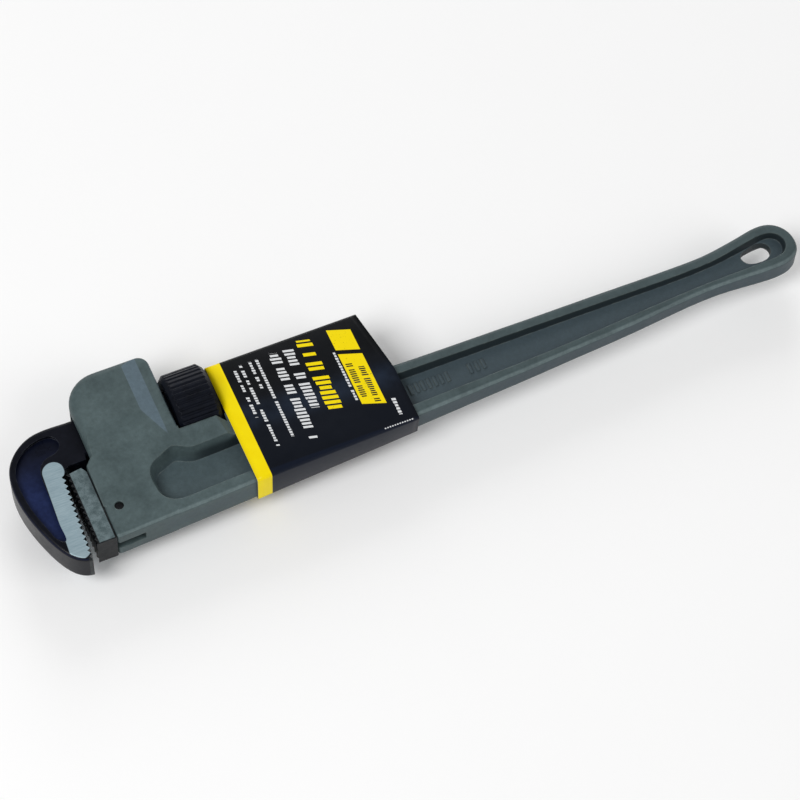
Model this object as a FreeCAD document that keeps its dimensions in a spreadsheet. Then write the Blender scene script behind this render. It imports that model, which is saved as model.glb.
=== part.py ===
import FreeCAD, Part
import math
import os

# Straight pipe wrench with a cast handle, lying on its side.
# X runs from the hook jaw to the hanging eye, Y from the heel jaw to the top of the housing,
# Z through the thickness. Outlines are drawn in drawing units about the middle plane;
# one drawing unit is `unit` mm, which follows from the nominal size and the pipe capacity.

V = FreeCAD.Vector
doc = FreeCAD.newDocument("pipe_wrench")
sheet = doc.addObject("Spreadsheet::Sheet", "dims")

DIMS = [
    ("nominal_length", "609.6"),
    ("pipe_capacity", "88.9"),
    ("drawing_length", "541.8"),
    ("unit", "=(nominal_length - pipe_capacity) / drawing_length"),
    # shared axis of the shank and the nut
    ("axis_y", "=49.6 * unit"),
    ("shank_half_z", "=12.5 * unit"),
    ("thread_crest", "=17 * unit"),
    ("thread_root", "=15.2 * unit"),
    ("thread_pitch", "5"),
    ("shank_end", "=-20 * unit"),
    ("thread_start", "=-172 * unit"),
    # adjusting nut
    ("nut_radius", "=28 * unit"),
    ("nut_bore", "=thread_crest + 0.4"),
    ("nut_front", "=-150.2 * unit"),
    ("nut_width", "=30.5 * unit"),
    ("nut_chamfer", "=3 * unit"),
    ("nut_flutes", "40"),
    ("flute_radius", "1.3"),
    # housing
    ("head_half_z", "=21.5 * unit"),
    ("seat_half_z", "=13.3 * unit"),
    ("window_front", "=-152 * unit"),
    ("window_rear", "=-118.2 * unit"),
    ("passage_half_z", "=13.4 * unit"),
    # heel jaw and its pin
    ("heel_half_z", "=12.8 * unit"),
    ("heel_teeth_x", "=-233.8 * unit"),
    ("tongue_half_z", "=3.6 * unit"),
    ("pin_x", "=-209.6 * unit"),
    ("pin_y", "=-8.9 * unit"),
    ("pin_radius", "3"),
    ("pin_half_length", "=seat_half_z - 1.2"),
    ("tooth_pitch", "4.1"),
    ("tooth_depth", "2.2"),
    # handle beam
    ("web_half_z", "3"),
    ("flange_round", "3"),
    ("fit_gap", "0.1"),
    # springs
    ("spring_low", "=axis_y + thread_crest + 0.5"),
    ("spring_bow", "0.8"),
    ("strip_thickness", "1.2"),
    ("strip_half_z", "=9 * unit"),
    ("coil_radius", "6"),
    ("coil_wire", "0.9"),
    ("rivet_radius", "2"),
    # card sleeve
    ("card_thickness", "0.6"),
    # frame: middle of the bounding box, bottom face on z = 0
    ("centre_x", "19.05"),
    ("centre_y", "25.36"),
    ("middle_z", "=nut_radius"),
]
for row, (alias, value) in enumerate(DIMS, start=1):
    sheet.set(f"A{row}", alias)
    sheet.set(f"B{row}", value)
    sheet.setAlias(f"B{row}", alias)
doc.recompute()


def dim(alias):
    return float(getattr(sheet, alias))


unit = dim("unit")
base = FreeCAD.Placement(V(-dim("centre_x"), -dim("centre_y"), dim("middle_z")), FreeCAD.Rotation())


def at(x, y, z=0.0):
    """A point given in drawing units on the plane z, with z in mm."""
    return V(x * unit, y * unit, z)


def flat(pairs, z=0.0):
    return [at(x, y, z) for x, y in pairs]


def spline_through(points, closed=False):
    curve = Part.BSplineCurve()
    curve.interpolate(points, PeriodicFlag=closed)
    return curve.toShape()


def polygon_face(points):
    return Part.Face(Part.makePolygon(points + [points[0]]))


def slab(face, z_low, z_high):
    solid = face.extrude(V(0, 0, z_high - z_low))
    solid.translate(V(0, 0, z_low))
    return solid


def plan_slab(pairs):
    """A full-height slab whose outline is given as (x, half width) pairs, in drawing units."""
    near = [V(x * unit, 0, w * unit) for x, w in pairs]
    far = [V(x * unit, 0, -w * unit) for x, w in reversed(pairs)]
    solid = polygon_face(near + far).extrude(V(0, 400, 0))
    solid.translate(V(0, -200, 0))
    return solid


def side_slab(pairs):
    """A slab along the whole tool whose outline is given as (y, half width) pairs, in drawing units."""
    near = [V(0, y * unit, w * unit) for y, w in pairs]
    far = [V(0, y * unit, -w * unit) for y, w in reversed(pairs)]
    solid = polygon_face(near + far).extrude(V(800, 0, 0))
    solid.translate(V(-400, 0, 0))
    return solid


def box(x0, y0, z0, x1, y1, z1):
    return Part.makeBox(x1 - x0, y1 - y0, z1 - z0, V(x0, y0, z0))


def rounded(solid, radius, pick):
    edges = [edge for edge in solid.Edges if pick(edge)]
    return solid.makeFillet(radius, edges)


def on_faces_z(half_z):
    """Picks the edges that lie on the planes z = half_z and z = -half_z."""

    def pick(edge):
        bounds = edge.BoundBox
        return bounds.ZLength < 0.01 and abs(abs(bounds.Center.z) - half_z) < 0.01

    return pick


def one_solid(shape):
    """The largest solid of a boolean's result, cleaned of seams."""
    return max(shape.Solids, key=lambda s: s.Volume).removeSplitter()


def serrated(x_low, y_low, x_high, y_high, back_x, lean):
    """A toothed face between two points and a straight back, as points of an outline."""
    length = math.hypot(x_high - x_low, y_high - y_low)
    count = int(length / dim("tooth_pitch"))
    points = []
    for n in range(count):
        for share, depth in ((0.0, 0.0), (lean, dim("tooth_depth"))):
            along = (n + share) / count
            x = x_low + (x_high - x_low) * along
            y = y_low + (y_high - y_low) * along
            points.append(V(x + depth * back_x, y, 0))
    points.append(V(x_high, y_high, 0))
    return points


def add_feature(name, shape):
    node = doc.addObject("Part::Feature", name)
    node.Label = name
    node.Shape = shape
    node.Placement = base.multiply(shape.Placement)
    return node


# ---------------------------------------------------------------- handle casting

BEAM_OUTLINE = [
    (-160, 31), (-117, 30.2), (-60, 27), (3, 23.2), (60, 22.5), (110, 22.1), (161, 21.9), (223, 21.5),
    (240, 21.9), (254, 23.2), (266, 24.9), (277, 26.8), (288, 28.5), (298, 27.6), (305.5, 22.8),
    (309.7, 15.5), (310.6, 8), (308.3, 0.2), (302, -5), (292, -7.3), (280, -7.4), (266, -6.6),
    (248, -5.8), (231, -6), (200, -8.4), (174, -10.7), (146, -12.6), (128, -13.6), (103, -15.2),
    (50, -18), (0, -20.6), (-60, -23.8), (-125, -27), (-175, -29.2), (-212, -30.4),
]
BEAM_HALF_WIDTHS = [
    (-225, 13.3), (-175, 13.1), (-117, 12.4), (-60, 11.3), (0, 10), (60, 9.1), (125, 8.5),
    (200, 7.9), (245, 7.7), (268, 8.6), (285, 9.2), (315, 9.2),
]
RECESS = [
    (-147, 10.6), (-117, 11.4), (-88, 12.8), (-50, 14.4), (3, 15), (60, 14.9), (125, 14.6), (180, 14.3),
    (223, 14.2), (250, 15.5), (270, 18.2), (285, 20.8), (294.5, 21.4), (301, 17.8), (303.6, 11.5), (302.2, 5),
    (297, 0.4), (288, -1.2), (275, -1.4), (240, -1.5), (205, -3.1), (175, -5), (125, -8.4), (60, -10.8),
    (5, -12.4), (-60, -15.2), (-117, -17.4), (-162, -19.4), (-174, -18.4), (-179.5, -13), (-181, -4),
    (-180.5, 5), (-177, 9.6), (-169, 13), (-161.5, 15.6), (-155, 13),
]
HEAD_OUTLINE = [
    (-152, 30.2), (-152, 92), (-215, 92), (-215, 31), (-219.5, 26), (-219.5, -31), (-172, -29),
    (-163, 9), (-117, 12), (-117, 30.2),
]
HEAD_CORNERS = [(-152, 92, 8), (-215, 92, 24), (-219.5, -31, 2.5), (-172, -29, 6), (-163, 9, 4)]
HEAD_HALF_WIDTHS = [(-240, 21.5), (-171, 21.5), (-160, 19), (-125, 19), (-118.2, 12.8), (-110, 12.8)]
HEAD_HALF_HEIGHTS = [(-60, 13.3), (-6, 13.3), (26, 19), (50, 21.5), (110, 21.5)]
PASSAGE = [
    (-240, 28), (-151, 31.4), (-151, 69.4), (-163, 69.6), (-164, 79.5), (-208, 79.5), (-209, 70.4),
    (-240, 71),
]
HANG_HOLE = [
    (269.6, 10.5), (272.5, 5.2), (280, 3.1), (288, 4.3), (292.3, 9), (291.6, 15), (286, 18), (277.5, 16.6),
    (271.5, 14.4),
]
CAST_MARKS = [8, 12.6, 17.2, 21.8, 26.4, 31, 35.6, 53, 58, 63]


def inset(pairs, distance):
    """Moves a closed outline inwards by a distance, both in drawing units."""
    moved = []
    for n, (x, y) in enumerate(pairs):
        x0, y0 = pairs[n - 1]
        x1, y1 = pairs[(n + 1) % len(pairs)]
        length = math.hypot(x1 - x0, y1 - y0)
        moved.append((x + (y1 - y0) / length * distance, y - (x1 - x0) / length * distance))
    return moved


def near(x, y):
    """Picks the upright edge at a corner of an outline."""

    def pick(edge):
        bounds = edge.BoundBox
        return bounds.ZLength > 1 and (bounds.Center - at(x, y, bounds.Center.z)).Length < 0.5

    return pick


def beam():
    edge = spline_through(flat(BEAM_OUTLINE))
    back = Part.makeLine(at(*BEAM_OUTLINE[-1]), at(*BEAM_OUTLINE[0]))
    solid = slab(Part.Face(Part.Wire([edge, back])), -20, 20)
    solid = solid.common(plan_slab(BEAM_HALF_WIDTHS))

    def long_edge(edge):
        bounds = edge.BoundBox
        return bounds.ZLength < 8 and abs(bounds.Center.z) > 3 and edge.Length > 8

    return rounded(solid, dim("flange_round"), long_edge)


def recess(side):
    """The drafted pocket on one side of the web; side is 1 or -1."""
    web = dim("web_half_z")
    rim = spline_through(flat(inset(RECESS, -2.2), side * (web + 14)), closed=True)
    floor = spline_through(flat(inset(RECESS, 2.2), side * web), closed=True)
    return Part.makeLoft([Part.Wire([floor]), Part.Wire([rim])], True, True)


def head():
    """The housing, the heel seat and the cradle under the nut, before the openings are cut."""
    half = dim("head_half_z")
    solid = slab(polygon_face(flat(HEAD_OUTLINE)), -half, half)
    for x, y, radius in HEAD_CORNERS:
        solid = rounded(solid, radius * unit, near(x, y))
    flat_edge = on_faces_z(half)
    housing_low = 26 * unit

    def of_housing(edge):
        centre = edge.BoundBox.Center
        return flat_edge(edge) and centre.y > housing_low and centre.x < dim("window_front") + 1

    solid = rounded(solid, 6 * unit, of_housing)
    solid = solid.common(side_slab(HEAD_HALF_HEIGHTS)).common(plan_slab(HEAD_HALF_WIDTHS))
    low_edge = on_faces_z(dim("seat_half_z"))

    def of_seat(edge):
        return low_edge(edge) and edge.BoundBox.YLength < 4 and edge.Length > 20

    return rounded(solid, 2.6, of_seat)


def make_handle():
    solid = beam().fuse(head())
    for side in (1, -1):
        solid = solid.cut(recess(side))
    solid = solid.cut(slab(polygon_face(flat(PASSAGE)), -dim("passage_half_z"), dim("passage_half_z")))
    window = Part.makeCylinder(
        dim("nut_radius") + 1, dim("window_rear") - dim("window_front"),
        V(dim("window_front"), dim("axis_y"), 0), V(1, 0, 0),
    )
    solid = solid.cut(window)
    gap = dim("fit_gap")
    tongue = dim("tongue_half_z") + gap
    solid = solid.cut(box(-240 * unit, -60 * unit, -tongue, -199 * unit, 12.4 * unit, tongue))
    solid = solid.cut(
        Part.makeCylinder(dim("pin_radius") + gap / 2, 120, V(dim("pin_x"), dim("pin_y"), -60))
    )
    hole = Part.Face(Part.Wire([spline_through(flat(HANG_HOLE), closed=True)]))
    solid = solid.cut(slab(hole, -10, 10))
    mark_top = dim("web_half_z") + 0.8
    for x in CAST_MARKS:
        solid = solid.fuse(box(x * unit, -1.5 * unit, 0, (x + 2.2) * unit, 6.5 * unit, mark_top))
    return one_solid(solid)


# ---------------------------------------------------------------- jaws

def make_heel_jaw():
    gap = dim("fit_gap")
    top = 26.5 * unit
    bottom = -30.8 * unit
    back = -219.6 * unit - gap
    teeth = serrated(dim("heel_teeth_x"), bottom, dim("heel_teeth_x"), top, 1, 0.3)
    outline = teeth + [V(-223 * unit, top + 1.5, 0), V(back, top - 4 * unit, 0), V(back, bottom, 0)]
    solid = slab(polygon_face(outline), -dim("heel_half_z"), dim("heel_half_z"))
    tongue = dim("tongue_half_z")
    solid = solid.fuse(box(back - 2, -22 * unit, -tongue, -199.6 * unit, 12 * unit, tongue))
    solid = solid.cut(
        Part.makeCylinder(dim("pin_radius") + gap / 2, 120, V(dim("pin_x"), dim("pin_y"), -60))
    )
    return one_solid(solid)


HOOK_OUTER = [
    (-214, 66.2), (-226, 66.3), (-238, 66.4), (-246.5, 65), (-255, 61), (-262.6, 54.4), (-267.8, 46.4),
    (-270.3, 37), (-271, 27), (-270.2, 16), (-267.6, 3), (-263, -12), (-256.6, -26.4), (-250.5, -34.4),
    (-244, -38.4), (-237, -39.4), (-230, -39.4), (-224, -39.4),
]
HOOK_RECESS = [
    (-236, 59.5), (-245, 58.8), (-254, 54.8), (-261, 48), (-264.8, 40), (-266, 30), (-265.2, 18),
    (-262.6, 4), (-258.8, -9), (-255, -18), (-252.6, -20), (-251.4, -10), (-250.7, 10), (-250.2, 31),
    (-247.6, 40), (-242, 44.4), (-235, 46), (-231, 49.5), (-231.5, 56.5),
]


def threaded_shank():
    """Flat-sided shank: a turned, ridged bar between two planes."""
    crest = dim("thread_crest")
    root = dim("thread_root")
    pitch = dim("thread_pitch")
    start = dim("thread_start")
    end = dim("shank_end")
    low = -228 * unit
    profile = [V(low, 0, 0), V(low, crest - 0.3, 0), V(start - 1, crest - 0.3, 0), V(start, root, 0)]
    count = int((end - 8 - start) / pitch)
    for n in range(count):
        x = start + n * pitch
        profile += [V(x + 0.25 * pitch, root, 0), V(x + 0.5 * pitch, crest, 0)]
        profile += [V(x + 0.75 * pitch, crest, 0), V(x + pitch, root, 0)]
    profile += [V(end - 3, root, 0), V(end, root - 3, 0), V(end, 0, 0)]
    solid = polygon_face(profile).revolve(V(0, 0, 0), V(1, 0, 0), 360)
    solid.translate(V(0, dim("axis_y"), 0))
    half = dim("shank_half_z")
    return solid.common(box(-300, -100, -half, 100, 200, half))


def make_hook_jaw():
    half = dim("shank_half_z")
    shank_low = dim("axis_y") - dim("thread_crest") + 0.5
    outer = spline_through(flat(HOOK_OUTER))
    closing = Part.makeLine(at(*HOOK_OUTER[-1]), at(*HOOK_OUTER[0]))
    hook = slab(Part.Face(Part.Wire([outer, closing])), -half, half)

    def outer_edge(edge):
        return on_faces_z(half)(edge) and edge.Curve.TypeId != "Part::GeomLine"

    hook = rounded(hook, 2.4, outer_edge)
    teeth = serrated(-239.3 * unit, -40 * unit, -235.2 * unit, 27.5 * unit, -1, 0.7)
    throat = [V(-233.5 * unit, 31 * unit, 0), V(-230 * unit, shank_low, 0), V(-200 * unit, shank_low, 0)]
    throat += [V(-200 * unit, -50 * unit, 0), V(-239.2 * unit, -50 * unit, 0)]
    hook = hook.cut(slab(polygon_face(teeth + throat), -40, 40))
    for side in (1, -1):
        rim = spline_through(flat(HOOK_RECESS, side * (half + 1)), closed=True)
        floor = spline_through(flat(inset(HOOK_RECESS, 1.4), side * (half - 3.6)), closed=True)
        hook = hook.cut(Part.makeLoft([Part.Wire([floor]), Part.Wire([rim])], True, True))
    return one_solid(hook.fuse(threaded_shank()))


# ---------------------------------------------------------------- nut, springs and sleeve

def add_nut():
    """The nut as a body: a blank, its bore, chamfered rims and the fluted grip, with its axis along Z."""
    body = doc.addObject("PartDesign::Body", "adjusting_nut")
    body.Label = "adjusting_nut"
    blank = body.newObject("PartDesign::AdditiveCylinder", "nut_blank")
    bore = body.newObject("PartDesign::SubtractiveCylinder", "nut_bore_cut")
    for feature, radius in ((blank, "nut_radius"), (bore, "nut_bore")):
        feature.setExpression("Radius", f"dims.{radius}")
        feature.setExpression("Height", "dims.nut_width")
    doc.recompute()
    rims = [
        f"Edge{n}"
        for n, edge in enumerate(bore.Shape.Edges, start=1)
        if edge.BoundBox.ZLength < 0.01 and abs(edge.BoundBox.XLength / 2 - dim("nut_radius")) < 0.1
    ]
    chamfer = body.newObject("PartDesign::Chamfer", "nut_rims")
    chamfer.Base = (bore, rims)
    chamfer.setExpression("Size", "dims.nut_chamfer")
    flute = body.newObject("PartDesign::SubtractiveCylinder", "flute")
    flute.setExpression("Radius", "dims.flute_radius")
    flute.setExpression("Height", "dims.nut_width - 1.2 * dims.nut_chamfer")
    flute.AttachmentOffset = FreeCAD.Placement(
        V(dim("nut_radius") + 0.5, 0, 0.6 * dim("nut_chamfer")), FreeCAD.Rotation()
    )
    flute.AttachmentSupport = [(body.Origin.OriginFeatures[3], "")]
    flute.MapMode = "FlatFace"
    grip = body.newObject("PartDesign::PolarPattern", "grip")
    grip.Originals = [flute]
    grip.Axis = (body.Origin.OriginFeatures[2], [""])
    grip.Angle = 360
    grip.setExpression("Occurrences", "dims.nut_flutes")
    body.Tip = grip
    doc.recompute()
    along_x = FreeCAD.Rotation(V(0, 1, 0), 90)
    body.Placement = base.multiply(FreeCAD.Placement(V(dim("nut_front"), dim("axis_y"), 0), along_x))
    return body


def add_cylinder(name, radius, height, spot, turn=FreeCAD.Rotation()):
    """A cylinder bound to the sheet; radius and height are expressions."""
    node = doc.addObject("Part::Cylinder", name)
    node.Label = name
    node.setExpression("Radius", radius)
    node.setExpression("Height", height)
    node.Placement = base.multiply(FreeCAD.Placement(spot, turn))
    return node


def add_spring_rivet():
    along_y = FreeCAD.Rotation(V(1, 0, 0), -90)
    foot = V(-187 * unit, dim("spring_low"), 0)
    seat = foot + V(0, dim("spring_bow") + dim("strip_thickness") + 0.1, 0)
    shaft = add_cylinder(
        "rivet_shaft", "dims.rivet_radius", "dims.spring_bow + dims.strip_thickness + 0.2", foot, along_y
    )
    button = add_cylinder("rivet_button", "dims.rivet_radius + 1.4", "1.2", seat, along_y)
    node = doc.addObject("Part::Fuse", "spring_rivet")
    node.Label = "spring_rivet"
    node.Base = shaft
    node.Tool = button
    return node


def make_flat_spring():
    thick = V(0, dim("strip_thickness"), 0)
    bow = V(0, dim("spring_bow"), 0)
    start = V(-206 * unit, dim("spring_low"), 0)
    end = V(-168 * unit, dim("spring_low"), 0)
    middle = (start + end) / 2
    edges = [
        Part.Arc(start, middle + bow, end).toShape(),
        Part.makeLine(end, end + thick),
        Part.Arc(end + thick, middle + bow + thick, start + thick).toShape(),
        Part.makeLine(start + thick, start),
    ]
    solid = slab(Part.Face(Part.Wire(edges)), -dim("strip_half_z"), dim("strip_half_z"))
    hole = Part.makeCylinder(dim("rivet_radius") + 0.1, 40, middle - V(0, 20, 0), V(0, 1, 0))
    return one_solid(solid.cut(hole))


def make_coil_spring():
    low = dim("axis_y") + dim("thread_crest") + 2.7 + dim("coil_wire")
    high = 79.5 * unit - dim("coil_wire") - 0.1
    turns = 3.5
    height = high - low
    path = Part.makeHelix(height / turns, height, dim("coil_radius"))
    wire = Part.Wire([Part.makeCircle(dim("coil_wire"), V(dim("coil_radius"), 0, 0), V(0, 1, 0))])
    solid = Part.Wire(path).makePipeShell([wire], True, True)
    solid.rotate(V(0, 0, 0), V(1, 0, 0), -90)
    solid.translate(V(-187 * unit, low, 0))
    return solid


SLEEVE_ENDS = {
    -117.2: [(69.1, 13.6), (25, 13.8), (16, 13.7), (-27.9, 13.7), (-27.9, -13.7), (16, -13.7),
             (25, -13.8), (69.1, -13.6)],
    3.5: [(69.1, 13.6), (25, 13.5), (18, 12.8), (-24.6, 11.8), (-22.2, -11.2), (18, -12.8), (25, -13.5),
          (69.1, -13.6)],
}


def sleeve_solid(shrink):
    """The sleeve's outer solid (shrink 0) or the space inside it."""
    wires = []
    for x, section in SLEEVE_ENDS.items():
        moved = []
        for y, z in section:
            inward = -shrink if y > 0 else shrink
            shift = inward if abs(y) > 20 and y != 25 else 0
            moved.append(V(x * unit, y * unit + shift, z * unit - math.copysign(shrink, z)))
        wires.append(Part.makePolygon(moved + [moved[0]]))
    return Part.makeLoft(wires, True, True)


def make_card_sleeve():
    card = dim("card_thickness")
    solid = sleeve_solid(0)
    inside = sleeve_solid(card)
    solid = solid.cut(inside)
    slant = polygon_face(flat([(-4.5, 75), (3.6, 18), (20, 18), (20, 75)]))
    return one_solid(solid.cut(slab(slant, -40, 40)))


PARTS = {
    "handle": make_handle,
    "heel_jaw": make_heel_jaw,
    "hook_jaw": make_hook_jaw,
    "flat_spring": make_flat_spring,
    "coil_spring": make_coil_spring,
    "card_sleeve": make_card_sleeve,
}
nodes = [add_feature(name, make()) for name, make in PARTS.items()]

nodes.append(add_nut())
nodes.append(add_spring_rivet())
pin_foot = V(dim("pin_x"), dim("pin_y"), -dim("pin_half_length"))
nodes.append(add_cylinder("heel_jaw_pin", "dims.pin_radius", "2 * dims.pin_half_length", pin_foot))

doc.recompute()
for item in doc.Objects:
    if "Invalid" in item.State or "Error" in item.State:
        raise RuntimeError(f"{item.Label} did not compute: {item.State}")
os.makedirs("parts", exist_ok=True)
bounds = FreeCAD.BoundBox()
for node in nodes:
    shape = node.Shape
    if shape.isNull() or not shape.isValid() or len(shape.Solids) != 1:
        raise RuntimeError(f"{node.Label} is not one valid solid")
    bounds.add(shape.BoundBox)
    shape.exportStep(f"parts/{node.Label}.step")
    print(node.Label, round(shape.Volume), "mm3")
print("bounds", bounds)
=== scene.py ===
import math

import bpy
from mathutils import Matrix, Vector


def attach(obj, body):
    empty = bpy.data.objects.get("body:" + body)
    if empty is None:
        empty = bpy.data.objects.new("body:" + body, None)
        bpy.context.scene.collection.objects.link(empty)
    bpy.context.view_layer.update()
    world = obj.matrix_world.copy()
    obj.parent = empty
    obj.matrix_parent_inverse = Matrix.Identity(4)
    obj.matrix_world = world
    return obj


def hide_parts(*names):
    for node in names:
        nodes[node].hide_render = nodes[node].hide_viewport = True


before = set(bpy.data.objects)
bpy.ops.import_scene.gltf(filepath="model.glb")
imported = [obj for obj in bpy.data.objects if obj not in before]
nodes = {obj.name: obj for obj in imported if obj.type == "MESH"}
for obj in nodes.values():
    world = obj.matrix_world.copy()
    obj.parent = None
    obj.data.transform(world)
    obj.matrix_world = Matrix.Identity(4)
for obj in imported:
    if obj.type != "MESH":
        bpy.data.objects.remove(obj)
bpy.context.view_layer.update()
scene = bpy.context.scene
scene.view_settings.view_transform = "Standard"

# Outlines are given in drawing units about the wrench's middle plane: X towards the hanging eye,
# Y towards the top of the housing. UNIT is one drawing unit in metres, worked out from the tool's
# class length and largest pipe in millimetres. CENTRE is the place of the drawing's zero: the nut
# rests on the ground, so the middle plane is the nut's radius above it.
CLASS_LENGTH = 609.6
LARGEST_PIPE = 88.9
HEEL_JAW_TO_HANDLE_END = 541.8
NUT_RADIUS = 28
UNIT = (CLASS_LENGTH - LARGEST_PIPE) / HEEL_JAW_TO_HANDLE_END / 1000
CENTRE = Vector((-0.01905, -0.02536, NUT_RADIUS * UNIT))


def at(x, y, z):
    return CENTRE + Vector((x, y, z)) * UNIT


def linear(red, green, blue):
    """A colour given as 0 to 255 display values, as a linear colour with alpha."""
    channels = []
    for value in (red, green, blue):
        share = value / 255
        channels.append(share / 12.92 if share <= 0.04045 else ((share + 0.055) / 1.055) ** 2.4)
    return (*channels, 1.0)


# ---------------------------------------------------------------- shader building

class Tree:
    """A few short words for building node trees."""

    def __init__(self, tree):
        self.tree = tree

    def add(self, kind, inputs=None, **settings):
        node = self.tree.nodes.new("ShaderNode" + kind)
        for key, value in settings.items():
            setattr(node, key, value)
        for key, value in (inputs or {}).items():
            self.feed(node.inputs[key], value)
        return node

    def feed(self, socket, value):
        if isinstance(value, bpy.types.NodeSocket):
            self.tree.links.new(value, socket)
        elif isinstance(value, tuple) and len(value) == 4 and len(socket.default_value) == 3:
            socket.default_value = value[:3]
        else:
            socket.default_value = value

    def math(self, operation, a, b=0.0, c=0.0, clamp=False):
        node = self.add("Math", {0: a, 1: b, 2: c}, operation=operation, use_clamp=clamp)
        return node.outputs[0]

    def times(self, *values):
        result = values[0]
        for value in values[1:]:
            result = self.math("MULTIPLY", result, value)
        return result

    def above(self, value, edge, soft):
        """Rises from 0 to 1 as value passes edge."""
        ends = {0: value, 1: edge - soft, 2: edge + soft}
        return self.add("MapRange", ends, interpolation_type="SMOOTHSTEP").outputs[0]

    def below(self, value, edge, soft):
        return self.math("SUBTRACT", 1.0, self.above(value, edge, soft))

    def within(self, value, low, high, soft):
        return self.times(self.above(value, low, soft), self.below(value, high, soft))

    def mix(self, share, a, b):
        node = self.add("Mix", data_type="RGBA")
        self.feed(node.inputs[0], share)
        self.feed(node.inputs[6], a)
        self.feed(node.inputs[7], b)
        return node.outputs[2]

    def noise(self, place, scale, detail, roughness=0.5):
        values = {"Vector": place, "Scale": scale, "Detail": detail, "Roughness": roughness}
        return self.add("TexNoise", values).outputs[0]

    def span(self, share, low, high):
        """A number that goes from low to high with share."""
        return self.add("MapRange", {0: share, 3: low, 4: high}).outputs[0]

    def group(self, tree, inputs=None):
        node = self.add("Group", node_tree=tree)
        for key, value in (inputs or {}).items():
            self.feed(node.inputs[key], value)
        return node


def new_group(name, inputs, outputs):
    """An empty node group with named sockets, with the ends to build between."""
    tree = bpy.data.node_groups.new(name, "ShaderNodeTree")
    for label, kind, value in inputs:
        socket = tree.interface.new_socket(label, in_out="INPUT", socket_type="NodeSocket" + kind)
        if value is not None:
            socket.default_value = value
    for label, kind in outputs:
        tree.interface.new_socket(label, in_out="OUTPUT", socket_type="NodeSocket" + kind)
    start = tree.nodes.new("NodeGroupInput")
    end = tree.nodes.new("NodeGroupOutput")
    return tree, Tree(tree), start.outputs, end.inputs


def drawing_group():
    """Turns a place on the part at rest into drawing units."""
    tree, t, given, result = new_group(
        "drawing_units", [("Place", "Vector", None)],
        [("X", "Float"), ("Y", "Float"), ("Z", "Float"), ("Side", "Float")],
    )
    moved = t.add("VectorMath", {0: given["Place"], 1: tuple(CENTRE)}, operation="SUBTRACT")
    scaled = t.add("VectorMath", {0: moved.outputs[0], "Scale": 1 / UNIT}, operation="SCALE")
    parts = t.add("SeparateXYZ", {0: scaled.outputs[0]}).outputs
    for n, label in enumerate("XYZ"):
        t.feed(result[label], parts[n])
    t.feed(result["Side"], t.math("ABSOLUTE", parts[2]))
    return tree


def blotch_group():
    """Soft uneven patches from 0 to 1, with a finer layer over a coarse one."""
    tree, t, given, result = new_group(
        "blotches",
        [("Place", "Vector", None), ("Scale", "Float", 40.0), ("Contrast", "Float", 1.0)],
        [("Value", "Float")],
    )
    coarse = t.noise(given["Place"], given["Scale"], 4.0, 0.6)
    fine = t.noise(given["Place"], t.math("MULTIPLY", given["Scale"], 5.3), 3.0, 0.55)
    both = t.math("ADD", t.times(coarse, 0.65), t.times(fine, 0.35))
    steepness = t.times(given["Contrast"], 3.0)
    spread = t.math("MULTIPLY_ADD", t.math("SUBTRACT", both, 0.5), steepness, 0.5, clamp=True)
    t.feed(result["Value"], spread)
    return tree


def edge_group():
    """1 along worn outer and inner corners, 0 on open faces, broken up by noise."""
    tree, t, given, result = new_group(
        "edge_wear",
        [("Place", "Vector", None), ("Radius", "Float", 0.001), ("Breakup", "Float", 300.0)],
        [("Mask", "Float")],
    )
    soft = t.add("Bevel", {"Radius": given["Radius"]}, samples=6).outputs[0]
    hard = t.add("NewGeometry").outputs["Normal"]
    same = t.add("VectorMath", {0: soft, 1: hard}, operation="DOT_PRODUCT").outputs["Value"]
    turned = t.math("MULTIPLY", t.math("SUBTRACT", 1.0, same), 6.0, clamp=True)
    noise = t.noise(given["Place"], given["Breakup"], 3.0)
    t.feed(result["Mask"], t.times(turned, t.above(noise, 0.5, 0.18)))
    return tree


def grain_group():
    """A rough surface's normal: cast grain, or fine pits at a small scale."""
    tree, t, given, result = new_group(
        "surface_grain",
        [("Place", "Vector", None), ("Scale", "Float", 900.0), ("Strength", "Float", 0.3),
         ("Depth", "Float", 0.0003), ("Rounding", "Float", 0.0006)],
        [("Normal", "Vector")],
    )
    coarse = t.noise(given["Place"], given["Scale"], 3.0, 0.6)
    wide = t.noise(given["Place"], t.math("MULTIPLY", given["Scale"], 0.13), 1.0)
    height = t.math("ADD", t.times(coarse, 0.6), t.times(wide, 0.9))
    soft = t.add("Bevel", {"Radius": given["Rounding"]}, samples=6).outputs[0]
    bump = t.add("Bump", {"Strength": given["Strength"], "Distance": given["Depth"], "Normal": soft})
    t.feed(bump.inputs["Height"], height)
    t.feed(result["Normal"], bump.outputs[0])
    return tree


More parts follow.
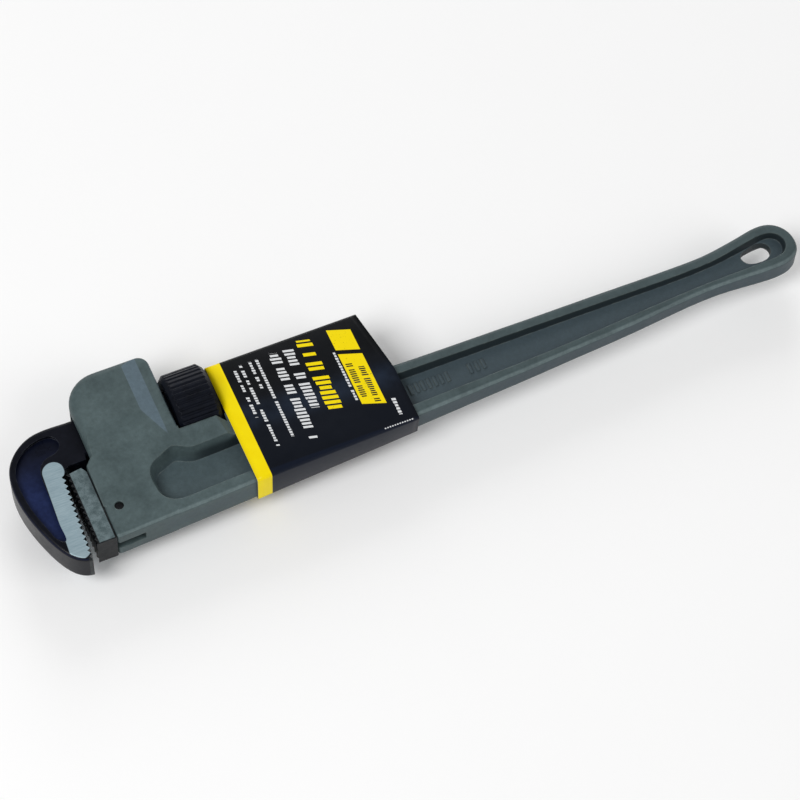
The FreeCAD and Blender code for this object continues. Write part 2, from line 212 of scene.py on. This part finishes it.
def dash_group():
    """A printed row of plain dashes of uneven length, in a column across the tool."""
    tree, t, given, result = new_group(
        "print_dashes",
        [("X", "Float", 0.0), ("Y", "Float", 0.0), ("Column", "Float", 0.0), ("Half", "Float", 1.0),
         ("Low", "Float", 0.0), ("High", "Float", 1.0), ("Step", "Float", 2.0), ("Fill", "Float", 0.7)],
        [("Mask", "Float")],
    )
    steps = t.math("DIVIDE", given["Y"], given["Step"])
    cell = t.math("FLOOR", steps)
    inside = t.math("LESS_THAN", t.math("SUBTRACT", steps, cell), given["Fill"])
    seed = t.add("CombineXYZ", {0: cell, 1: given["Column"]}).outputs[0]
    chance = t.add("TexWhiteNoise", {"Vector": seed}, noise_dimensions="2D").outputs[0]
    kept = t.math("GREATER_THAN", chance, 0.16)
    uneven = t.math("MULTIPLY_ADD", chance, 0.35, 0.65)
    away = t.math("ABSOLUTE", t.math("SUBTRACT", given["X"], given["Column"]))
    near = t.math("LESS_THAN", away, t.times(given["Half"], uneven))
    low = t.math("GREATER_THAN", given["Y"], given["Low"])
    high = t.math("LESS_THAN", given["Y"], given["High"])
    t.feed(result["Mask"], t.times(inside, kept, near, low, high))
    return tree


DRAWING = drawing_group()
BLOTCHES = blotch_group()
EDGES = edge_group()
GRAIN = grain_group()
DASHES = dash_group()


def new_material(name, shine=0.5):
    material = bpy.data.materials.new(name)
    material.use_nodes = True
    material.node_tree.nodes.clear()
    t = Tree(material.node_tree)
    shader = t.add("BsdfPrincipled")
    shader.inputs["Specular IOR Level"].default_value = shine
    out = t.add("OutputMaterial")
    t.feed(out.inputs["Surface"], shader.outputs[0])
    place = t.add("TexCoord").outputs["Object"]
    return material, t, shader, place


def in_drawing_units(t, place):
    return t.group(DRAWING, {"Place": place}).outputs


def patches(t, place, scale, contrast):
    return t.group(BLOTCHES, {"Place": place, "Scale": scale, "Contrast": contrast}).outputs[0]


def worn_edges(t, place, radius, breakup):
    return t.group(EDGES, {"Place": place, "Radius": radius, "Breakup": breakup}).outputs[0]


def add_grain(t, shader, place, scale, strength, depth, rounding):
    values = {"Place": place, "Scale": scale, "Strength": strength, "Depth": depth, "Rounding": rounding}
    t.feed(shader.inputs["Normal"], t.group(GRAIN, values).outputs[0])


def facing_sides(t):
    """1 where a face looks along Z, either way."""
    normal = t.add("TexCoord").outputs["Normal"]
    return t.math("ABSOLUTE", t.add("SeparateXYZ", {0: normal}).outputs[2])


def casting_material():
    material, t, shader, place = new_material("cast_grey_enamel", 0.25)
    spot = in_drawing_units(t, place)
    patch = patches(t, place, 45.0, 1.0)
    colour = t.mix(patch, linear(66, 80, 82), linear(84, 100, 102))
    # the web is bluer, and the handle darkens towards the eye
    web = t.times(t.below(spot["Side"], 6.0, 2.5), t.above(spot["X"], -185.0, 4.0))
    far = t.above(spot["X"], -40.0, 110.0)
    colour = t.mix(t.times(web, t.span(far, 0.35, 0.9)), colour, linear(70, 84, 93))
    colour = t.mix(t.times(far, 0.35), colour, linear(50, 62, 66))
    normal = t.add("SeparateXYZ", {0: t.add("TexCoord").outputs["Normal"]}).outputs
    # painted shade: the pocket's upper wall and its end inside the eye are painted darker, in place of
    # their shadow
    painted_shade_wall = t.times(
        t.below(normal[1], -0.5, 0.2), t.above(spot["Y"], 4.0, 2.0),
        t.above(spot["X"], -150.0, 12.0), t.below(spot["Side"], 11.0, 3.0),
    )
    painted_shade_end = t.times(
        t.below(normal[0], -0.35, 0.2), t.above(spot["X"], 282.0, 4.0), t.below(spot["Side"], 9.0, 1.5),
    )
    dark = t.times(t.math("MAXIMUM", painted_shade_wall, painted_shade_end), 0.85)
    colour = t.mix(dark, colour, linear(26, 35, 40))
    # painted highlight: a lighter line along the lower flange's rounded edge, on the side that faces up
    ridge_highlight = t.times(
        t.within(normal[2], 0.3, 0.9, 0.1), t.below(normal[1], -0.25, 0.1), t.below(spot["Y"], 0.0, 4.0),
    )
    colour = t.mix(t.times(ridge_highlight, t.span(patch, 0.3, 0.75)), colour, linear(118, 134, 136))
    # painted highlight: the slope behind the housing is painted paler and bluer
    facet_highlight = t.times(
        t.above(normal[0], 0.1, 0.04), t.above(spot["Side"], 15.0, 3.0), t.above(spot["Y"], 28.0, 6.0),
    )
    colour = t.mix(t.times(facet_highlight, 0.8), colour, linear(94, 112, 124))
    speckle = patches(t, place, 420.0, 1.4)
    colour = t.mix(t.span(speckle, 0.0, 0.22), colour, linear(42, 50, 49))
    worn = worn_edges(t, place, 0.0014, 160.0)
    colour = t.mix(t.times(worn, 0.4), colour, linear(128, 138, 134))
    t.feed(shader.inputs["Base Color"], colour)
    roughness = t.math("SUBTRACT", t.span(patch, 0.44, 0.58), t.times(worn, 0.12))
    t.feed(shader.inputs["Roughness"], roughness)
    t.feed(shader.inputs["Metallic"], t.times(worn, 0.5))
    add_grain(t, shader, place, 900.0, 0.32, 0.0003, 0.0011)
    return material


def heel_material():
    material, t, shader, place = new_material("heel_jaw_steel", 0.2)
    spot = in_drawing_units(t, place)
    # bare steel on the two sides, in a band behind the teeth
    side = t.times(
        t.above(facing_sides(t), 0.8, 0.1), t.above(spot["X"], -231.6, 0.25),
        t.below(spot["X"], -220.6, 0.25), t.above(spot["Y"], -30.0, 0.3),
    )
    patch = patches(t, place, 260.0, 1.7)
    bare = t.mix(patch, linear(88, 104, 107), linear(118, 134, 138))
    black = t.mix(patch, linear(9, 11, 14), linear(20, 23, 27))
    worn = worn_edges(t, place, 0.0005, 500.0)
    black = t.mix(t.times(worn, 0.35), black, linear(120, 124, 126))
    t.feed(shader.inputs["Base Color"], t.mix(side, black, bare))
    t.feed(shader.inputs["Metallic"], t.span(side, 0.08, 0.6))
    t.feed(shader.inputs["Roughness"], t.math("ADD", t.span(patch, 0.34, 0.5), t.times(side, 0.05)))
    add_grain(t, shader, place, 1500.0, 0.35, 0.0002, 0.0004)
    return material


SHANK_AXIS_Y = 49.6
THREAD_START_X = -172.0
THREAD_CREST = 16.4
TEETH_LEAN = -0.0607
STRIP_X = -243.3
STRIP_Y = 1.5
STRIP_HALF_LENGTH = 31.0
STRIP_HALF_WIDTH = 7.4


def hook_material():
    material, t, shader, place = new_material("hook_jaw_enamel", 0.15)
    spot = in_drawing_units(t, place)
    patch = patches(t, place, 70.0, 1.1)
    flat_side = t.above(facing_sides(t), 0.9, 0.05)
    # the ground strip beside the teeth leans with them and has round ends
    lean = t.math("MULTIPLY_ADD", spot["Y"], TEETH_LEAN, spot["X"])
    across = t.math("ABSOLUTE", t.math("SUBTRACT", lean, STRIP_X))
    along = t.math("ABSOLUTE", t.math("SUBTRACT", spot["Y"], STRIP_Y))
    past = t.math("MAXIMUM", t.math("SUBTRACT", along, STRIP_HALF_LENGTH), 0.0)
    apart = t.math("SQRT", t.math("ADD", t.times(across, across), t.times(past, past)))
    strip = t.below(apart, STRIP_HALF_WIDTH, 0.25)
    ground = t.times(strip, flat_side, t.above(spot["Side"], 12.0, 0.2))
    toothed = t.times(t.within(lean, -240.0, -235.0, 0.3), t.below(spot["Y"], 28.0, 0.5))
    teeth = t.times(toothed, t.math("SUBTRACT", 1.0, flat_side))
    # painted sheen: the hook's recess is a lighter navy than its enamel, and it fades to black towards
    # the shank as painted shade
    sunk_sheen = t.times(
        t.below(spot["Side"], 11.4, 0.8), t.below(spot["X"], -229.0, 1.0),
        t.above(facing_sides(t), 0.5, 0.2),
    )
    enamel = t.mix(patch, linear(8, 10, 17), linear(12, 15, 25))
    navy_sheen = t.mix(patch, linear(18, 27, 58), linear(30, 42, 82))
    sheen_fade = t.span(t.above(spot["Y"], 36.0, 20.0), 1.0, 0.12)
    colour = t.mix(t.times(sunk_sheen, sheen_fade), enamel, navy_sheen)
    worn = worn_edges(t, place, 0.0009, 260.0)
    colour = t.mix(t.times(worn, 0.25), colour, linear(90, 96, 110))
    # the thread's crests are rubbed brighter than its roots
    aside = t.math("SUBTRACT", spot["Y"], SHANK_AXIS_Y)
    reach = t.math("SQRT", t.math("ADD", t.times(aside, aside), t.times(spot["Z"], spot["Z"])))
    rubbed = patches(t, place, 260.0, 1.0)
    crest = t.times(
        t.above(spot["X"], THREAD_START_X, 1.0), t.above(reach, THREAD_CREST, 0.5),
        t.span(rubbed, 0.3, 0.8),
    )
    colour = t.mix(crest, colour, linear(112, 116, 119))
    scratch = t.add("Mapping", {"Vector": place, "Scale": (60.0, 900.0, 900.0)}).outputs[0]
    streak = patches(t, scratch, 1.0, 1.3)
    bare = t.mix(streak, linear(142, 164, 174), linear(164, 184, 192))
    colour = t.mix(ground, colour, bare)
    colour = t.mix(teeth, colour, t.mix(patch, linear(16, 18, 20), linear(60, 66, 68)))
    t.feed(shader.inputs["Base Color"], colour)
    t.feed(shader.inputs["Metallic"], t.math("MAXIMUM", t.times(ground, 0.45), t.times(teeth, 0.5)))
    roughness = t.math("ADD", t.span(patch, 0.26, 0.38), t.times(ground, 0.14))
    t.feed(shader.inputs["Roughness"], roughness)
    add_grain(t, shader, place, 500.0, 0.16, 0.0003, 0.0008)
    return material


def dark_steel_material(name, dark, light, edge_share, rough):
    material, t, shader, place = new_material(name, 0.2)
    patch = patches(t, place, 150.0, 1.2)
    worn = worn_edges(t, place, 0.0006, 400.0)
    colour = t.mix(patch, linear(*dark), linear(*light))
    colour = t.mix(t.times(worn, edge_share), colour, linear(140, 144, 148))
    t.feed(shader.inputs["Base Color"], colour)
    t.feed(shader.inputs["Metallic"], t.span(worn, 0.35, 0.8))
    t.feed(shader.inputs["Roughness"], t.span(patch, rough, rough + 0.14))
    add_grain(t, shader, place, 1400.0, 0.2, 0.0002, 0.0005)
    return material


# rows of print on the card: column, half width, low end, high end, step and filled share
WHITE_ROWS = [
    (-99.0, 1.2, 18.0, 58.0, 2.1, 0.72), (-94.0, 1.2, -8.0, 61.0, 2.1, 0.72),
    (-87.0, 1.2, 38.0, 61.0, 2.1, 0.72), (-82.0, 1.2, -5.0, 61.0, 2.1, 0.72),
    (-69.5, 3.9, -12.0, 61.0, 2.9, 0.6), (-59.0, 3.9, 10.0, 62.0, 2.9, 0.6),
    (-30.5, 1.0, 4.0, 46.0, 2.3, 0.72), (-7.0, 1.5, -17.0, -3.0, 2.6, 0.72),
]
YELLOW_ROWS = [(-46.5, 5.6, 4.0, 63.0, 4.1, 0.66)]
PLATE_ROWS = [(-24.6, 2.3, 2.0, 34.0, 1.7, 0.6), (-17.4, 2.3, -2.0, 28.0, 1.7, 0.6)]


def card_material():
    material, t, shader, place = new_material("printed_card", 0.16)
    spot = in_drawing_units(t, place)
    front = t.above(spot["Z"], 6.0, 0.1)
    x, y = spot["X"], spot["Y"]
    patch = patches(t, place, 30.0, 0.8)
    ink_and_sheen = t.mix(patch, linear(6, 8, 11), linear(10, 13, 18))
    # painted sheen: a soft navy band across the middle of the card
    navy_sheen = t.times(t.within(y, -30.0, 30.0, 16.0), 0.5)
    ink_and_sheen = t.mix(navy_sheen, ink_and_sheen, linear(13, 20, 33))
    # painted sheen: a faint blue band lies along the front. The side below it is a dark navy
    slope = t.math("MULTIPLY_ADD", x, 0.06, y)
    sheen = t.times(t.within(slope, 6.0, 22.0, 7.0), patch, front)
    ink_and_sheen = t.mix(t.times(sheen, 0.7), ink_and_sheen, linear(34, 46, 64))
    ink_and_sheen = t.mix(t.times(t.below(y, -22.5, 0.8), 0.8), ink_and_sheen, linear(14, 22, 38))
    band = t.below(x, -106.5, 0.15)
    # the flap's edge is a thin line on the back
    back = t.below(spot["Z"], -6.0, 0.1)
    flap = t.times(t.within(y, 3.0, 3.6, 0.12), back)

    def rows(table):
        """The union of several rows of dashes."""
        result = 0.0
        for column, half, low, high, step, fill in table:
            leaning = t.math("MULTIPLY_ADD", t.math("SUBTRACT", x, column), 0.25, y)
            values = {"X": x, "Y": leaning, "Column": column, "Half": half}
            values.update({"Low": low, "High": high, "Step": step, "Fill": fill})
            result = t.math("MAXIMUM", result, t.group(DASHES, values).outputs[0])
        return result

    dotted = t.math("LESS_THAN", t.math("FRACT", t.times(x, 0.55)), 0.6)
    rule = t.times(t.within(x, -22.0, 0.0, 0.2), t.within(y, -23.6, -22.8, 0.1), dotted)
    white = t.math("MAXIMUM", rows(WHITE_ROWS), rule)
    wide = rows(YELLOW_ROWS)
    bars = rows(PLATE_ROWS)
    slant = t.math("MULTIPLY_ADD", x, 0.35, y)
    strip = t.within(x, -28.5, -12.5, 0.1)
    plate = t.times(strip, t.within(slant, -9.5, 33.0, 0.1))
    panel = t.times(plate, t.math("SUBTRACT", 1.0, bars))
    tag = t.times(strip, t.within(slant, 36.5, 54.0, 0.1))
    yellow = t.math("MAXIMUM", t.math("MAXIMUM", wide, panel), tag)
    worn_ink = t.above(patches(t, place, 700.0, 1.0), 0.12, 0.08)
    colour = t.mix(t.times(white, front, worn_ink), ink_and_sheen, linear(222, 224, 226))
    colour = t.mix(t.times(yellow, front, worn_ink), colour, linear(246, 220, 2))
    gold = t.mix(patch, linear(244, 216, 0), linear(250, 228, 2))
    colour = t.mix(band, colour, gold)
    rubbed = worn_edges(t, place, 0.0008, 500.0)
    colour = t.mix(t.times(rubbed, 0.3), colour, linear(120, 118, 112))
    colour = t.mix(t.times(flap, 0.8), colour, linear(96, 94, 88))
    t.feed(shader.inputs["Base Color"], colour)
    t.feed(shader.inputs["Roughness"], t.span(patch, 0.3, 0.42))
    add_grain(t, shader, place, 160.0, 0.12, 0.0004, 0.0004)
    return material


def board_material():
    material, t, shader, place = new_material("plain_card_inside")
    patch = patches(t, place, 300.0, 1.2)
    t.feed(shader.inputs["Base Color"], t.mix(patch, linear(150, 146, 136), linear(176, 172, 162)))
    t.feed(shader.inputs["Roughness"], t.span(patch, 0.8, 0.92))
    add_grain(t, shader, place, 900.0, 0.3, 0.0002, 0.0003)
    return material


CASTING = casting_material()
HEEL = heel_material()
HOOK = hook_material()
NUT = dark_steel_material("nut_black_steel", (7, 10, 19), (13, 18, 30), 0.07, 0.36)
PIN = dark_steel_material("pin_black_steel", (12, 13, 15), (26, 28, 31), 0.2, 0.4)
SPRING = dark_steel_material("spring_steel", (70, 72, 76), (104, 107, 112), 0.5, 0.28)
CARD = card_material()
BOARD = board_material()

FINISHES = [
    ("handle", CASTING, "casting"),
    ("heel_jaw", HEEL, "jaw_steel"),
    ("hook_jaw", HOOK, "forging"),
    ("adjusting_nut", NUT, "nut_steel"),
    ("heel_jaw_pin", PIN, "pin_steel"),
    ("flat_spring", SPRING, "spring_steel"),
    ("spring_rivet", SPRING, "spring_steel"),
    ("coil_spring", SPRING, "spring_steel"),
]
for name, material, slot in FINISHES:
    node = nodes[name]
    node.data.materials.clear()
    node.data.materials.append(material)

# ---------------------------------------------------------------- card sleeve

# sides longer than LONG_SIDE get two more points each
SLEEVE_START_X = -117.2
SLEEVE_END_X = 3.5
CARD_THICKNESS = 0.6
FOLD_RADIUS = 2.4
LONG_SIDE = 30
# the card tube's outline as (Y, Z) at its jaw end and at its handle end
LEFT_SECTION = [
    (69.1, 13.6), (25.0, 13.8), (16.0, 13.7), (-27.9, 13.7),
    (-27.9, -13.7), (16.0, -13.7), (25.0, -13.8), (69.1, -13.6),
]
RIGHT_SECTION = [
    (69.1, 13.6), (25.0, 13.5), (18.0, 12.8), (-24.6, 11.8),
    (-22.2, -11.2), (18.0, -12.8), (25.0, -13.5), (69.1, -13.6),
]


def rounded_loop(corners, radius, steps=4):
    """A closed outline with each corner turned into a short arc."""
    points = []
    count = len(corners)
    for n, corner in enumerate(corners):
        spot = Vector(corner)
        before = Vector(corners[n - 1]) - spot
        after = Vector(corners[(n + 1) % count]) - spot
        reach = min(radius, before.length * 0.45, after.length * 0.45)
        start = spot + before.normalized() * reach
        end = spot + after.normalized() * reach
        for k in range(steps + 1):
            share = k / steps
            rest = 1 - share
            points.append(start * rest ** 2 + spot * 2 * share * rest + end * share ** 2)
        if after.length > LONG_SIDE:
            middle = end.lerp(Vector(corners[(n + 1) % count]), 0.5)
            points.append(end.lerp(middle, 0.66))
            points.append(middle)
    return points


def shrunk(points, distance):
    """A loop moved inwards."""
    moved = []
    for n, spot in enumerate(points):
        along = (points[(n + 1) % len(points)] - points[n - 1]).normalized()
        moved.append(spot + Vector((-along.y, along.x)) * distance)
    return moved


def right_end(y):
    """The handle end is cut square up to Y = 18, then slants back 8 over the next 51."""
    return SLEEVE_END_X if y < 18 else SLEEVE_END_X - (y - 18) * 8 / 51


def sleeve_ring(share, distance):
    left = rounded_loop(LEFT_SECTION, FOLD_RADIUS)
    right = rounded_loop(RIGHT_SECTION, FOLD_RADIUS)
    ring = [a.lerp(b, share) for a, b in zip(left, right)]
    ring = shrunk(ring, distance)
    places = []
    for spot in ring:
        x = SLEEVE_START_X + share * (right_end(spot.x) - SLEEVE_START_X)
        places.append(at(x, spot.x, spot.y))
    return places


def make_sleeve():
    stations = 24
    rings = [sleeve_ring(n / stations, 0.0) for n in range(stations + 1)]
    rings += [sleeve_ring(n / stations, CARD_THICKNESS) for n in range(stations, -1, -1)]
    count = len(rings[0])
    places = [place for ring in rings for place in ring]
    faces = []
    shades = []
    for n in range(len(rings)):
        following = (n + 1) % len(rings)
        for k in range(count):
            near = (k + 1) % count
            this_row, next_row = n * count, following * count
            faces.append((this_row + k, this_row + near, next_row + near, next_row + k))
            shades.append(0 if n < stations else 1)
    mesh = bpy.data.meshes.new("card_sleeve_shell")
    mesh.from_pydata([tuple(p) for p in places], [], faces)
    mesh.materials.append(CARD)
    mesh.materials.append(BOARD)
    for face, shade in zip(mesh.polygons, shades):
        face.material_index = shade
        face.use_smooth = True
    mesh.update()
    shell = bpy.data.objects.new("card_sleeve_shell", mesh)
    scene.collection.objects.link(shell)
    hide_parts("card_sleeve")
    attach(shell, "card_sleeve")


make_sleeve()

# ---------------------------------------------------------------- floor, camera and lights


def floor_material():
    material, t, shader, place = new_material("pale_floor")
    patch = patches(t, place, 3.0, 0.5)
    t.feed(shader.inputs["Base Color"], t.mix(patch, linear(253, 253, 253), linear(255, 255, 255)))
    t.feed(shader.inputs["Roughness"], t.span(patch, 0.7, 0.8))
    return material


floor_mesh = bpy.data.meshes.new("floor")
floor_mesh.from_pydata([(-8, -8, 0), (8, -8, 0), (8, 8, 0), (-8, 8, 0)], [], [(0, 1, 2, 3)])
floor_mesh.materials.append(floor_material())
floor = bpy.data.objects.new("floor", floor_mesh)
scene.collection.objects.link(floor)

world = bpy.data.worlds.new("studio")
scene.world = world
world.use_nodes = True
backdrop = world.node_tree.nodes["Background"]
backdrop.inputs["Color"].default_value = (1.0, 1.0, 1.0, 1.0)
backdrop.inputs["Strength"].default_value = 0.3

CAMERA_DISTANCE = 2070
azimuth, elevation, roll = math.radians(-26.3), math.radians(59.5), math.radians(3)
back = Vector((
    math.sin(azimuth) * math.cos(elevation),
    -math.cos(azimuth) * math.cos(elevation),
    math.sin(elevation),
))
level = Vector((math.cos(azimuth), math.sin(azimuth), 0))
right = level * math.cos(roll) + back.cross(level) * math.sin(roll)
up = back.cross(right)
camera_data = bpy.data.cameras.new("camera")
camera_data.lens = 135
camera_data.sensor_width = 36
camera = bpy.data.objects.new("camera", camera_data)
scene.collection.objects.link(camera)
camera.matrix_world = Matrix((right, up, back)).transposed().to_4x4()
camera.location = CENTRE + back * CAMERA_DISTANCE * UNIT
scene.camera = camera

LIGHTS = [
    ("key", (-2.0, -0.6, 2.6), 1.6, 62),
    ("fill", (1.9, -1.9, 1.9), 2.0, 26),
    ("rear", (0.9, 2.6, 1.3), 1.6, 30),
]
for name, place, size, power in LIGHTS:
    light_data = bpy.data.lights.new(name, "AREA")
    light_data.size = size
    light_data.energy = power
    light = bpy.data.objects.new(name, light_data)
    scene.collection.objects.link(light)
    light.location = place
    light.rotation_euler = (-Vector(place)).to_track_quat("-Z", "Y").to_euler()
